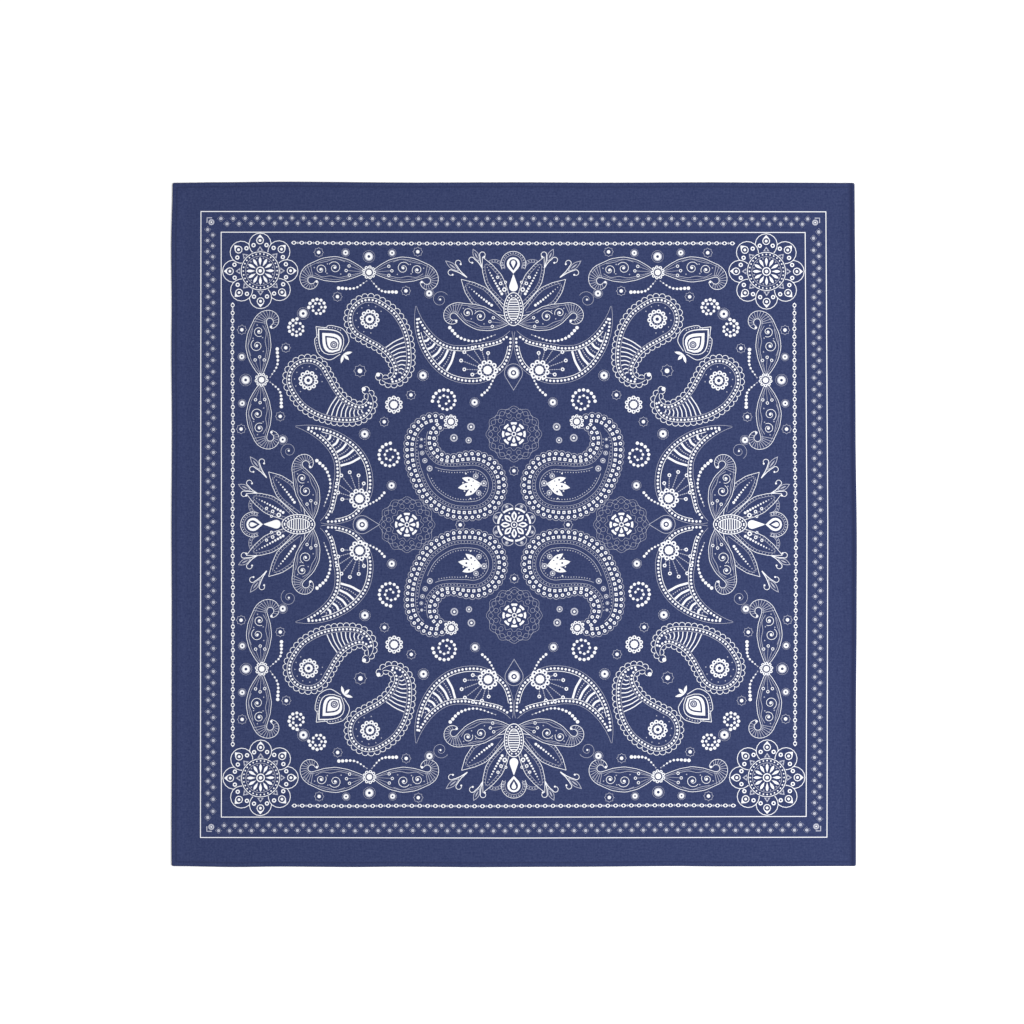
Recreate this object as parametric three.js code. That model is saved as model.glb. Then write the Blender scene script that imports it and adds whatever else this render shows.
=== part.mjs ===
// A square cotton bandana laid flat, in millimetres, +Z up. One square of cloth is the whole
// garment: its four edges are turned under in a narrow hem and stitched down. The origin is on
// the surface it lies on, under the middle of the square, with +Y towards the top edge.
import * as THREE from 'three';

// Driving dimensions
const CLOTH_SIDE = 559;          // finished square, 22 inches
const WALL = 1.0;                // thickness that stands for one layer of cloth
const SEAM_GAP = 0.3;            // air between a turned layer and the panel above it
const HEM_WIDTH = 5.5;           // from the folded edge to the inner edge of the turned layer
const RAMP_LENGTH = 9;           // over which the panel comes down from the hem to the surface
const GRID_PITCH = 24;           // spacing of the sections across the middle of the panel

// Sizes that follow from them
const HALF = CLOTH_SIDE / 2;
const LIFT = WALL + SEAM_GAP;                 // underside of the panel where it lies on a hem
const HEM_OUTER = WALL + SEAM_GAP;            // the turned layer starts inside the fold
const RAMP_START = HEM_WIDTH + 2 * SEAM_GAP;
const RAMP_END = RAMP_START + RAMP_LENGTH;

// Hand-cut cloth is never a true square. Each row is a place along an edge, measured from its
// middle, and how far the edge bows outwards there. Up and right are positive.
const EDGE_BOWS = {
  left: [
    { at: -279, out: 0.1 }, { at: -263, out: 0.3 }, { at: -181, out: 0.0 },
    { at: -62, out: -0.1 }, { at: -5, out: 0.2 }, { at: 80, out: -0.2 },
    { at: 145, out: 0.3 }, { at: 178, out: 0.0 }, { at: 227, out: 0.45 }, { at: 279, out: -0.65 },
  ],
  right: [
    { at: -279, out: 0.1 }, { at: -165, out: 0.1 }, { at: -67, out: 0.7 },
    { at: -18, out: 0.85 }, { at: 80, out: -0.2 }, { at: 162, out: -0.5 },
    { at: 194, out: -0.4 }, { at: 243, out: -0.8 }, { at: 279, out: -1.0 },
  ],
  bottom: [
    { at: -279, out: -0.4 }, { at: -226, out: 0.4 }, { at: -194, out: 0.0 },
    { at: -128, out: 0.4 }, { at: -96, out: 0.1 }, { at: -30, out: 0.5 },
    { at: 45, out: 0.2 }, { at: 133, out: -0.4 }, { at: 166, out: -0.1 }, { at: 279, out: -0.4 },
  ],
  top: [
    { at: -279, out: -0.3 }, { at: -243, out: 0.1 }, { at: -190, out: 0.6 },
    { at: -79, out: -0.1 }, { at: 2, out: 0.1 }, { at: 76, out: -0.2 },
    { at: 166, out: 0.1 }, { at: 199, out: -0.1 }, { at: 279, out: -0.35 },
  ],
};

// The fold at the edge of the panel, from its outer foot round to its inner side. inset is the
// distance in from the edge of the square, and height is above the surface.
const FOLD_SECTION = [
  { inset: 0.38, height: 2.15 },
  { inset: 0.06, height: 1.7 },
  { inset: 0.0, height: 1.15 },
  { inset: 0.06, height: 0.5 },
  { inset: 0.3, height: 0.0 },
  { inset: 0.75, height: 0.0 },
  { inset: 0.95, height: 0.35 },
];
const FOLD_TOP_INSET = 0.95;     // where the rounded fold meets the flat top of the hem

// Smooth value of a short table of rows at a place along the edge
function bowAt(rows, place) {
  const last = rows.length - 1;
  if (place <= rows[0].at) {
    return rows[0].out;
  }
  if (place >= rows[last].at) {
    return rows[last].out;
  }
  const next = rows.findIndex((row) => row.at > place);
  const before = rows[next - 1];
  const after = rows[next];
  const share = (place - before.at) / (after.at - before.at);
  const eased = share * share * (3 - 2 * share);
  return before.out + (after.out - before.out) * eased;
}

// A point of the true square, moved to where it lies on the cloth with its bowed edges
function layOnCloth(x, y, z) {
  const toRight = (x / HALF + 1) / 2;
  const toTop = (y / HALF + 1) / 2;
  const bowedX = x + toRight * bowAt(EDGE_BOWS.right, y) - (1 - toRight) * bowAt(EDGE_BOWS.left, y);
  const bowedY = y + toTop * bowAt(EDGE_BOWS.top, x) - (1 - toTop) * bowAt(EDGE_BOWS.bottom, x);
  return [bowedX, bowedY, z];
}

// Height of the panel's underside at a distance in from the nearest edge
function undersideAt(inset) {
  const share = Math.min(Math.max((inset - RAMP_START) / RAMP_LENGTH, 0), 1);
  return LIFT * (1 - share * share * (3 - 2 * share));
}

// Places of the sections across the square. The first and last are stood in for by edgeInset.
function sectionPlaces(edgeInset) {
  const nearEdge = [edgeInset, RAMP_START, RAMP_START + RAMP_LENGTH / 3,
    RAMP_START + (2 * RAMP_LENGTH) / 3, RAMP_END];
  const middleSpan = 2 * (HALF - RAMP_END);
  const middleCount = Math.round(middleSpan / GRID_PITCH);
  const places = nearEdge.map((inset) => -HALF + inset);
  for (let step = 1; step < middleCount; step += 1) {
    places.push(-HALF + RAMP_END + (middleSpan * step) / middleCount);
  }
  nearEdge.reverse().forEach((inset) => places.push(HALF - inset));
  return places;
}

// Collects points and faces of one closed body
class Body {
  constructor() {
    this.points = [];
    this.faces = [];
  }

  add(point) {
    this.points.push(point);
    return this.points.length - 1;
  }

  quad(a, b, c, d) {
    this.faces.push(a, b, c, a, c, d);
  }

  // A square sheet of points, facing up, or down when flipped
  sheet(places, heightAt, flipped) {
    const rows = places.map((y) => places.map((x) => {
      const inset = HALF - Math.max(Math.abs(x), Math.abs(y));
      return this.add(layOnCloth(x, y, heightAt(inset)));
    }));
    for (let j = 0; j + 1 < places.length; j += 1) {
      for (let i = 0; i + 1 < places.length; i += 1) {
        const corners = [rows[j][i], rows[j][i + 1], rows[j + 1][i + 1], rows[j + 1][i]];
        this.quad(...(flipped ? corners.reverse() : corners));
      }
    }
    return rows;
  }

  // Faces between two closed loops of equal length
  band(loop, next) {
    loop.forEach((point, index) => {
      const after = (index + 1) % loop.length;
      this.quad(point, next[index], next[after], loop[after]);
    });
  }

  geometry() {
    const geometry = new THREE.BufferGeometry();
    geometry.setAttribute('position', new THREE.Float32BufferAttribute(this.points.flat(), 3));
    geometry.setIndex(this.faces);
    geometry.computeVertexNormals();
    return geometry;
  }
}

// Row and column of every point round the rim of a square sheet, anticlockwise from above
function rimOrder(count) {
  const last = count - 1;
  const order = [];
  for (let i = 0; i < last; i += 1) order.push([0, i]);
  for (let j = 0; j < last; j += 1) order.push([j, last]);
  for (let i = last; i > 0; i -= 1) order.push([last, i]);
  for (let j = last; j > 0; j -= 1) order.push([j, 0]);
  return order;
}

// The panel: an upper and a lower sheet, joined round the rim by the rounded fold
function panelGeometry() {
  const body = new Body();
  const upper = body.sheet(sectionPlaces(FOLD_TOP_INSET), (inset) => undersideAt(inset) + WALL, false);
  const lower = body.sheet(sectionPlaces(WALL), undersideAt, true);
  const order = rimOrder(upper.length);
  const loops = [order.map(([row, column]) => upper[row][column])];
  FOLD_SECTION.forEach(({ inset, height }) => {
    const places = sectionPlaces(inset);
    loops.push(order.map(([row, column]) => body.add(layOnCloth(places[column], places[row], height))));
  });
  loops.push(order.map(([row, column]) => lower[row][column]));
  for (let ring = 0; ring + 1 < loops.length; ring += 1) {
    body.band(loops[ring], loops[ring + 1]);
  }
  return body.geometry();
}

// One turned edge: a flat strip lying on the surface, under the panel and inside its fold.
// alongX is true for the top and bottom hems, and side is 1 for top or right, -1 otherwise.
function hemGeometry(alongX, side) {
  const body = new Body();
  const endInset = alongX ? HEM_OUTER : HEM_WIDTH + SEAM_GAP;
  const softening = WALL / 4;
  const section = [
    { inset: HEM_OUTER, height: softening }, { inset: HEM_OUTER + softening, height: 0 },
    { inset: HEM_WIDTH - softening, height: 0 }, { inset: HEM_WIDTH, height: softening },
    { inset: HEM_WIDTH, height: WALL - softening }, { inset: HEM_WIDTH - softening, height: WALL },
    { inset: HEM_OUTER + softening, height: WALL }, { inset: HEM_OUTER, height: WALL - softening },
  ];
  const stations = sectionPlaces(endInset);
  const loops = stations.map((along) => section.map(({ inset, height }) => {
    const across = side * (HALF - inset);
    return body.add(alongX ? layOnCloth(along, across, height) : layOnCloth(across, along, height));
  }));
  const mirrored = alongX ? side < 0 : side > 0;
  for (let ring = 0; ring + 1 < loops.length; ring += 1) {
    const [first, second] = mirrored ? [loops[ring + 1], loops[ring]] : [loops[ring], loops[ring + 1]];
    body.band(first, second);
  }
  const caps = [loops[0], loops[loops.length - 1]];
  caps.forEach((loop, end) => {
    for (let index = 1; index + 1 < loop.length; index += 1) {
      const corner = [loop[0], loop[index], loop[index + 1]];
      const forward = (end === 0) === mirrored;
      body.faces.push(...(forward ? corner.reverse() : corner));
    }
  });
  return body.geometry();
}

function cottonMaterial(colour) {
  return new THREE.MeshStandardMaterial({ color: colour, roughness: 0.92, metalness: 0 });
}

function pieceOfCloth(name, geometry, colour) {
  const mesh = new THREE.Mesh(geometry, cottonMaterial(colour));
  mesh.name = name;
  return mesh;
}

const PRINTED_FACE = 0x3d466d;
const TURNED_BACK = 0x454e75;

const bandana = new THREE.Group();
bandana.add(pieceOfCloth('panel', panelGeometry(), PRINTED_FACE));
bandana.add(pieceOfCloth('hem_top', hemGeometry(true, 1), TURNED_BACK));
bandana.add(pieceOfCloth('hem_bottom', hemGeometry(true, -1), TURNED_BACK));
bandana.add(pieceOfCloth('hem_left', hemGeometry(false, -1), TURNED_BACK));
bandana.add(pieceOfCloth('hem_right', hemGeometry(false, 1), TURNED_BACK));

// The bows differ from side to side, so the middle of the whole is brought back to the origin
const reach = new THREE.Box3().setFromObject(bandana);
const middle = reach.getCenter(new THREE.Vector3());
bandana.position.set(-middle.x, -middle.y, 0);

export default bandana;
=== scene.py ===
"""A printed cotton bandana, laid flat and seen from straight above. Sizes are in mm until a mesh is made."""
import math

import bpy
import numpy as np
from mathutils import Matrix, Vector
from mathutils.bvhtree import BVHTree
from mathutils.geometry import delaunay_2d_cdt


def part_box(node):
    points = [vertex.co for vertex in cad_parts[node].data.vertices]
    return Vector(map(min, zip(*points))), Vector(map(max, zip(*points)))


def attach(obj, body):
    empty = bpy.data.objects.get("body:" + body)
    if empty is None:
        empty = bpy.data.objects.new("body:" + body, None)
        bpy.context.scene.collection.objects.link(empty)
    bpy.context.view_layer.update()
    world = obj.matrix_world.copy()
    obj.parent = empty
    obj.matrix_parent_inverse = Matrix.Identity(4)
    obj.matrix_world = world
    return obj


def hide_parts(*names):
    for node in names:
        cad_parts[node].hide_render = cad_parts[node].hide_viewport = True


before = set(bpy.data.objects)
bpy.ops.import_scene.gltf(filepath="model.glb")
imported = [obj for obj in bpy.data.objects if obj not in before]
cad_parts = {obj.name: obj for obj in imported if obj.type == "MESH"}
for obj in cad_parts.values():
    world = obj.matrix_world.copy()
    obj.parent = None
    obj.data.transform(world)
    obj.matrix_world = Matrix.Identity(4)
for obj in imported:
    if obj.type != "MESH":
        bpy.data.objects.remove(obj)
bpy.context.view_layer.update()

MM = 0.001

# The finished square, and how its edges are turned under
CLOTH_SIDE = 559.0
HALF = CLOTH_SIDE / 2
HEM_WIDTH = 5.5
STITCH_INSET = 3.6
STITCH_PITCH = 2.8

# Thicknesses of the visual cloth
CLOTH = 0.4
TURNED_LAYERS = 0.7
LAYER_GAP = 0.05
HEM_RAMP_START = 5.8
HEM_RAMP_LENGTH = 7.0

# How the photograph frames the cloth: one pixel is CLOTH_SIDE / CLOTH_PIXELS
CLOTH_PIXELS = 684.0
IMAGE_PIXELS = 1024
MM_PER_PIXEL = CLOTH_SIDE / CLOTH_PIXELS
FRAME_RIGHT_OF_CLOTH = -2.08 * MM_PER_PIXEL
FRAME_ABOVE_CLOTH = 12.47 * MM_PER_PIXEL
CAMERA_HEIGHT = 4000.0
SENSOR_WIDTH = 36.0
FLOOR_GLOW = 0.15                # as on a light table, where a thin cloth casts hardly any shadow
FLOOR_REACH, FLOOR_DROP = 12.0, 0.05 * MM
SKY_LIGHT = 0.52
LAMP_PLACE, LAMP_SIZE, LAMP_POWER = Vector((1.1, -0.2, 1.6)), 1.5, 36

# Hand-cut cloth is never a true square: a place along an edge, and how far the edge bows out there
EDGE_BOWS = {
    "left": [(-279, 0.1), (-263, 0.3), (-181, 0.0), (-62, -0.1), (-5, 0.2), (80, -0.2),
             (145, 0.3), (178, 0.0), (227, 0.45), (279, -0.65)],
    "right": [(-279, 0.1), (-165, 0.1), (-67, 0.7), (-18, 0.85), (80, -0.2), (162, -0.5),
              (194, -0.4), (243, -0.8), (279, -1.0)],
    "bottom": [(-279, -0.4), (-226, 0.4), (-194, 0.0), (-128, 0.4), (-96, 0.1), (-30, 0.5),
               (45, 0.2), (133, -0.4), (166, -0.1), (279, -0.4)],
    "top": [(-279, -0.3), (-243, 0.1), (-190, 0.6), (-79, -0.1), (2, 0.1), (76, -0.2),
            (166, 0.1), (199, -0.1), (279, -0.35)],
}

CORNER_RADIUS = 1.4

# Slow waves that a pressed cloth keeps: wavelength, direction in degrees, depth, and where it starts
SLOW_WAVES = [(236, 17, 0.10, 0.4), (171, 78, 0.08, 2.1), (128, 131, 0.06, 4.0), (97, 41, 0.04, 1.2),
              (83, 104, 0.03, 5.2)]
SLOW_WAVES_FULL_AT = 60.0        # how far in from the edge they have their full depth
# Shorter ripples of the hems, which fade towards the middle: wavelength, depth, and where it starts
HEM_RIPPLES = [(61, 0.09, 0.7), (37, 0.06, 2.9), (23, 0.04, 5.0)]
HEM_RIPPLE_REACH = 26.0


def linked(name, data):
    """A new object in the scene"""
    made = bpy.data.objects.new(name, data)
    bpy.context.scene.collection.objects.link(made)
    return made


# Materials
THREAD_PITCH = 0.42 * MM
NAVY_DARK = (0.0178, 0.0274, 0.0925, 1)
NAVY_LIGHT = (0.0465, 0.0620, 0.1515, 1)
# Painted shade: the dark navy laid over the stitches' groove, the crease along the edge and a band over the
# right hem
NAVY_PAINTED_SHADE = (0.019, 0.026, 0.080, 1)
REVERSE_DARK = (0.034, 0.045, 0.112, 1)
REVERSE_LIGHT = (0.052, 0.066, 0.160, 1)
THREAD_DARK = (0.020, 0.028, 0.080, 1)
THREAD_LIGHT = (0.034, 0.045, 0.118, 1)
INK_WHITE, INK_WORN = (0.93, 0.935, 0.95, 1), (0.62, 0.65, 0.76, 1)
THIN_INK_WHITE, THIN_INK_WORN = (0.455, 0.465, 0.54, 1), (0.30, 0.32, 0.44, 1)
# How far the stitches' groove (a bump and painted shade), the painted shade in the edge's crease and the
# puckers reach, in mm
GROOVE_REACH, CREASE_REACH, PUCKER_REACH = 0.75, 0.9, 6.0


class Shading:
    """A material's nodes, with short calls to add and link them"""

    def __init__(self, name):
        self.material = bpy.data.materials.new(name)
        self.material.use_nodes = True
        self.tree = self.material.node_tree

    def feed(self, node, inputs):
        """Links or sets each named or numbered input"""
        for socket, value in inputs.items():
            if isinstance(value, bpy.types.NodeSocket):
                self.tree.links.new(value, node.inputs[socket])
            else:
                node.inputs[socket].default_value = value

    def paint(self, inputs):
        self.feed(self.tree.nodes["Principled BSDF"], inputs)
        return self.material

    def node(self, kind, inputs, **settings):
        made = self.tree.nodes.new("ShaderNode" + kind)
        for name, value in settings.items():
            setattr(made, name, value)
        self.feed(made, inputs)
        return made.outputs

    def maths(self, operation, first, second=0.0, clamp=False):
        return self.node("Math", {0: first, 1: second}, operation=operation, use_clamp=clamp)[0]

    def times(self, first, second):
        return self.maths("MULTIPLY", first, second)

    def less(self, first, second):
        return self.maths("SUBTRACT", first, second)

    def noise(self, across, up, detail=2.0, deep=1):
        """Noise from 0 to 1 with the given count of grains a metre along x, y and z"""
        place = self.node("TexCoord", {})["Object"]
        spread = self.node("Mapping", {"Vector": place, "Scale": (across, up, deep)})[0]
        return self.node("TexNoise", {"Vector": spread, "Scale": 1.0, "Detail": detail})[0]

    def blend(self, share, first, second):
        return self.node("Mix", {"Factor": share, 6: first, 7: second}, data_type="RGBA")[2]

    def weave(self):
        """Height of a plain weave, from -1 to 1"""
        split = self.node("SeparateXYZ", {0: self.node("TexCoord", {})["Object"]})
        waves = [self.maths("SINE", self.times(split[axis], math.pi / THREAD_PITCH)) for axis in (0, 1)]
        return self.times(*waves)

    def threads(self):
        """Uneven yarns both ways, and a fine mottle, from 0 to 1"""
        yarns = self.times(self.maths("ADD", self.noise(900, 120), self.noise(100, 900)), 0.25)
        return self.maths("ADD", yarns, self.times(self.noise(650, 650, detail=1.0), 0.5))

    def insets(self):
        """Distances in mm from the cloth's nearest edge and from its right edge, from its flat map"""
        split = self.node("SeparateXYZ", {0: self.node("UVMap", {}, uv_map="Cloth")[0]})
        off = [self.maths("ABSOLUTE", self.less(split[axis], 0.5)) for axis in (0, 1)]
        nearest = self.less(0.5, self.maths("MAXIMUM", *off))
        return self.times(nearest, CLOTH_SIDE), self.times(self.less(1.0, split[0]), CLOTH_SIDE)

    def hump(self, distance, middle, reach):
        """1 where the distance is middle, 0.3 at reach from there and soon 0"""
        off = self.maths("DIVIDE", self.less(distance, middle), reach)
        return self.maths("POWER", 0.3, self.times(off, off))

    def finish(self, colour, height, depth, roughness, sheen=0.05):
        bump = self.node("Bump", {"Height": height, "Distance": depth * MM, "Strength": 1.0})[0]
        return self.paint({"Normal": bump, "Base Color": colour, "Roughness": roughness,
                           "Specular IOR Level": 0.15, "Sheen Weight": sheen, "Sheen Roughness": 0.5})


def cotton(name, dark, light):
    """Dyed plain-weave cotton, puckered along the stitches, with painted shade in the stitches' groove,
    in the crease of the edge and in a band over the right hem"""
    shading = Shading(name)
    uneven = shading.maths("MULTIPLY", shading.less(shading.threads(), 0.3), 2.5, clamp=True)
    inset, right_inset = shading.insets()
    # The stitches' groove is both a bump and painted shade; the crease along the edge and the band over the
    # right hem are painted shade only
    groove = shading.hump(inset, STITCH_INSET, GROOVE_REACH)
    crease = shading.times(shading.hump(inset, 0.0, CREASE_REACH), 0.6)
    right_hem_painted_shade = shading.hump(right_inset, HEM_WIDTH / 2, HEM_WIDTH / 2.4)
    shade = shading.maths("MAXIMUM", shading.maths("MAXIMUM", shading.times(groove, 0.5), crease), right_hem_painted_shade)
    colour = shading.blend(shade, shading.blend(uneven, dark, light), NAVY_PAINTED_SHADE)
    height = shading.less(shading.times(shading.weave(), 0.25), shading.times(groove, 0.8))
    puckered = shading.hump(inset, STITCH_INSET, PUCKER_REACH)
    puckers = shading.times(shading.noise(210, 210, detail=0.0), puckered)
    height = shading.maths("ADD", height, shading.times(puckers, 1.8))
    return shading.finish(colour, height, depth=0.12, roughness=0.9)


def ink(name, white, worn):
    """White pigment on the same cloth, thinner on its uneven yarns"""
    shading = Shading(name)
    colour = shading.blend(shading.times(shading.threads(), 0.16), white, worn)
    return shading.finish(colour, shading.times(shading.weave(), 0.2), depth=0.1, roughness=0.75)


def sewing_thread(name):
    shading = Shading(name)
    twist = shading.noise(3000, 3000, deep=600)
    colour = shading.blend(twist, THREAD_DARK, THREAD_LIGHT)
    return shading.finish(colour, twist, depth=0.05, roughness=0.7, sheen=0.1)


# Camera, floor and light
def make_camera():
    camera = linked("camera", bpy.data.cameras.new("camera"))
    camera.data.sensor_width = SENSOR_WIDTH
    camera.data.lens = SENSOR_WIDTH * CAMERA_HEIGHT / (IMAGE_PIXELS * MM_PER_PIXEL)
    camera.data.clip_end = 20.0
    camera.location = Vector((FRAME_RIGHT_OF_CLOTH, FRAME_ABOVE_CLOTH, CAMERA_HEIGHT)) * MM
    bpy.context.scene.camera = camera


def make_floor():
    mesh = bpy.data.meshes.new("floor")
    corners = [(x * FLOOR_REACH, y * FLOOR_REACH, 0) for x, y in ((-1, -1), (1, -1), (1, 1), (-1, 1))]
    mesh.from_pydata(corners, [], [(0, 1, 2, 3)])
    floor = linked("floor", mesh)
    floor.location.z = -FLOOR_DROP
    mesh.materials.append(Shading("pale_floor").paint({
        "Base Color": (0.97, 0.97, 0.97, 1), "Roughness": 0.9, "Emission Color": (1, 1, 1, 1),
        "Emission Strength": FLOOR_GLOW}))


def make_lights():
    world = bpy.data.worlds.new("studio")
    bpy.context.scene.world = world
    world.use_nodes = True
    sky = world.node_tree.nodes["Background"]
    sky.inputs["Color"].default_value = (1, 1, 1, 1)
    sky.inputs["Strength"].default_value = SKY_LIGHT
    light = bpy.data.lights.new("softbox_right", "AREA")
    light.shape = "DISK"
    light.size = LAMP_SIZE
    light.energy = LAMP_POWER
    lamp = linked("softbox_right", light)
    lamp.location = LAMP_PLACE
    lamp.rotation_euler = (-LAMP_PLACE).to_track_quat("-Z", "Y").to_euler()
    bpy.context.scene.view_settings.view_transform = "Standard"


make_camera()
make_floor()
make_lights()


# The print

# Looks of the panel's faces, in the order of its materials
BARE, INK, REVERSE, THIN_INK = 0, 1, 2, 3

# Widths of the printed lines, and the width and radius up to which the screen lets less ink through
LACE_LINE = 0.2
FINE_LINE = 0.28
THIN_LINE = 0.38
LINE = 0.41
BOLD_LINE = 0.66
THIN_DOT = 0.62
CHORD_SLACK = 0.08      # how far a straight step may leave the true curve


def polar(radius, degrees):
    return radius * np.exp(1j * np.radians(degrees))


def about(count, start=0.0):
    """Directions evenly round a circle, in degrees"""
    return [360 * k / count + start for k in range(count)]


def arc(centre, radius, start, end, pitch=1.0):
    steps = max(int(abs(np.radians(end - start)) * radius / pitch), 6)
    return centre + polar(radius, np.linspace(start, end, steps + 1))


def spiral(centre, outer, inner, start, turns):
    share = np.linspace(0, 1, int(abs(turns) * 24) + 2)
    return centre + polar(outer + (inner - outer) * share, start + 360 * turns * share)


def evenly(path, pitch):
    """The path with its points a whole number of equal steps apart, about pitch long"""
    lengths = np.concatenate([[0], np.cumsum(np.abs(np.diff(path)))])
    steps = max(int(round(lengths[-1] / pitch)), 1)
    at = np.linspace(0, lengths[-1], steps + 1)
    return np.interp(at, lengths, path.real) + 1j * np.interp(at, lengths, path.imag)


def curve(*knots, pitch=0.8):
    """A smooth path through a few points"""
    knots = np.asarray(knots, dtype=complex)
    before = np.concatenate([[2 * knots[0] - knots[1]], knots[:-1]])
    after = np.concatenate([knots[1:], [2 * knots[-1] - knots[-2]]])
    slopes = (after - before) / 2
    t = np.linspace(0, 1, 17)[:-1]
    pieces = []
    for k in range(len(knots) - 1):
        pieces.append((2 * t**3 - 3 * t**2 + 1) * knots[k] + (t**3 - 2 * t**2 + t) * slopes[k]
                      + (3 * t**2 - 2 * t**3) * knots[k + 1] + (t**3 - t**2) * slopes[k + 1])
    return evenly(np.concatenate([*pieces, knots[-1:]]), pitch)


def sideways(path):
    """Unit vectors to the left of a path"""
    along = np.gradient(path)
    return 1j * along / np.maximum(np.abs(along), 1e-9)


def kept_points(path):
    """Places in the path that keep it within the chord slack"""
    kept = [0]
    for k in range(2, len(path)):
        start = path[kept[-1]]
        chord = path[k] - start
        skipped = path[kept[-1] + 1:k] - start
        off = np.abs((skipped * np.conj(chord)).imag) / max(abs(chord), 1e-6)
        if off.max() > CHORD_SLACK:
            kept.append(k - 1)
    return kept + [len(path) - 1]


def sides_for(radius):
    if radius < 1.2:
        return 5 if radius < 0.72 else 6
    if radius < 2.3:
        return 7 if radius < 1.7 else 9
    return int(min(8.5 + radius, 34))


class Drawing:
    """Flat shapes in paint order. Each is its corner points, x + y j in mm, and its look"""

    def __init__(self):
        self.shapes = []

    def shape(self, corners, look=INK):
        self.shapes.append((np.asarray(corners, dtype=complex), look))

    def dot(self, at, radius, look=INK):
        sides = sides_for(radius)
        if look == INK and radius < THIN_DOT:
            look = THIN_INK
        self.shape(at + polar(radius, 360 * np.arange(sides) / sides), look)

    def ring(self, at, radius, line):
        self.dot(at, radius, THIN_INK if line <= THIN_LINE else INK)
        self.dot(at, radius - line, BARE)

    def layers(self, places, *rows):
        """Dots at one place or more, layer upon layer: rows of radius and look"""
        for radius, look in rows:
            for at in np.atleast_1d(places):
                self.dot(at, radius, look)

    def disc(self, at, radius):
        """A dot within a ring"""
        self.layers(at, (radius, THIN_INK), (radius * 0.64, BARE), (max(radius * 0.34, THIN_DOT), INK))

    def line(self, path, width, tail=None, closed=False, look=INK):
        """A band along a path. Its width goes from width to tail"""
        if look == INK and width <= THIN_LINE:
            look = THIN_INK
        path = np.asarray(path, dtype=complex)
        if closed:
            path = np.append(path, path[0])
            left = sideways(np.concatenate([path[-2:-1], path, path[1:2]]))[1:-1]
        else:
            left = sideways(path)
        halves = np.linspace(width, width if tail is None else tail, len(path)) / 2
        kept = kept_points(path)
        a = (path + left * halves)[kept]
        b = (path - left * halves)[kept]
        for k in range(len(kept) - 1):
            self.shape([a[k], b[k], b[k + 1], a[k + 1]], look)

    def blob(self, outline, look=INK):
        """A filled shape with a curved outline"""
        outline = np.asarray(outline, dtype=complex)
        self.shape(outline[kept_points(outline)], look)

    def beads(self, path, pitch, first, last=None, closed=False):
        if closed:
            path = np.append(path, path[0])
        places = evenly(path, pitch)
        if closed:
            places = places[:-1]
        radii = np.linspace(first, first if last is None else last, len(places))
        for at, radius in zip(places, radii):
            self.dot(at, radius)

    def string(self, *knots, first=0.6, last=1.5):
        """Beads on a fine thread"""
        path = curve(*knots)
        self.line(path, FINE_LINE)
        self.beads(path, 3.1, first, last)

    def leaf(self, base, tip, width, look=INK, belly=0.5):
        """A pointed leaf from base to tip"""
        along = tip - base
        side = 1j * along / abs(along)
        t = np.linspace(0, 1, int(min(max(abs(along) / 2, 4), 9)) + 1)
        fat = np.sin(np.pi * t ** (np.log(0.5) / np.log(belly))) * width / 2
        right = base + along * t - side * fat
        left = base + along * t + side * fat
        self.shape(np.concatenate([right, left[-2:0:-1]]), look)

    def drop(self, base, tip, radius, look=INK):
        """A round end at base that narrows to a point at tip"""
        along = tip - base
        unit = along / abs(along)
        open_angle = np.degrees(np.arccos(min(radius / abs(along), 0.99)))
        sides = max(int(radius * 2.4), 6)
        round_end = base + unit * polar(radius, np.linspace(open_angle, 360 - open_angle, sides + 1))
        self.shape(np.append(round_end, tip), look)

    def add(self, other, at=0, turn=0.0, scale=1.0, flip=False):
        """Another drawing, flipped left for right if asked, then scaled, turned and moved"""
        factor = scale * np.exp(1j * np.radians(turn))
        for corners, look in other.shapes:
            placed = -np.conj(corners) if flip else corners
            self.shapes.append((placed * factor + at, look))


def motif(fill):
    """The drawing that a function makes of an empty one"""
    def drawn(*sizes):
        d = Drawing()
        fill(d, *sizes)
        return d
    return drawn


class Form:
    """A shape round a bending spine, such as a leaf or a paisley. It starts at 0 towards +x.
    widths gives rows of share along the spine, and share of the half-width there"""

    def __init__(self, length, half_width, widths, bend=0.0, curl=0.0, curl_from=0.7):
        t = np.linspace(0, 1, 121)
        curling = np.clip((t - curl_from) / (1 - curl_from), 0, 1)
        heading = np.exp(1j * np.radians(bend * t + curl * curling**1.4))
        self.spine = np.concatenate([[0], np.cumsum((heading[1:] + heading[:-1]) / 2 * length / 120)])
        self.normals = 1j * heading
        share, width = np.array(widths, dtype=float).T
        smooth = np.interp(t, share, width)
        for _ in range(14):
            smooth[1:-1] = (smooth[:-2] + 2 * smooth[1:-1] + smooth[2:]) / 4
        self.widths = half_width * smooth

    def at(self, share, side=0.0, inset=0.0):
        """A place by its share of the spine and its share of the width to the left, moved in from the rim"""
        reach = np.maximum(self.widths - inset, 0)
        edge = self.spine + self.normals * reach * side
        steps = np.linspace(0, 1, len(edge))
        return np.interp(share, steps, edge.real) + 1j * np.interp(share, steps, edge.imag)

    def width(self, share):
        return np.interp(share, np.linspace(0, 1, len(self.widths)), self.widths)

    def side(self, which, inset=0.0, start=0.0, end=1.0):
        """One side of the outline, 1 for the left and -1 for the right, moved in by inset"""
        steps = np.linspace(0, 1, len(self.spine))
        kept = (steps >= start) & (steps <= end) & (self.widths >= inset * 1.25)
        return evenly((self.spine + which * self.normals * (self.widths - inset))[kept], 0.8)

    def outline(self, inset=0.0, pitch=0.8, end=1.0, round_head=True):
        """Round the head and along both sides, from the tip on the left to the tip on the right"""
        left = self.side(1, inset, end=end)
        right = self.side(-1, inset, end=end)
        back = arc(0, self.widths[0] - inset, 90, 270)[1:-1] if round_head else []
        return evenly(np.concatenate([left[::-1], back, right]), pitch)


LEAF_WIDTHS = [(0, 0), (0.1, 0.42), (0.22, 0.8), (0.36, 1), (0.5, 0.88), (0.62, 0.56), (0.74, 0.34),
               (0.9, 0.22), (1, 0.12)]


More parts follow.
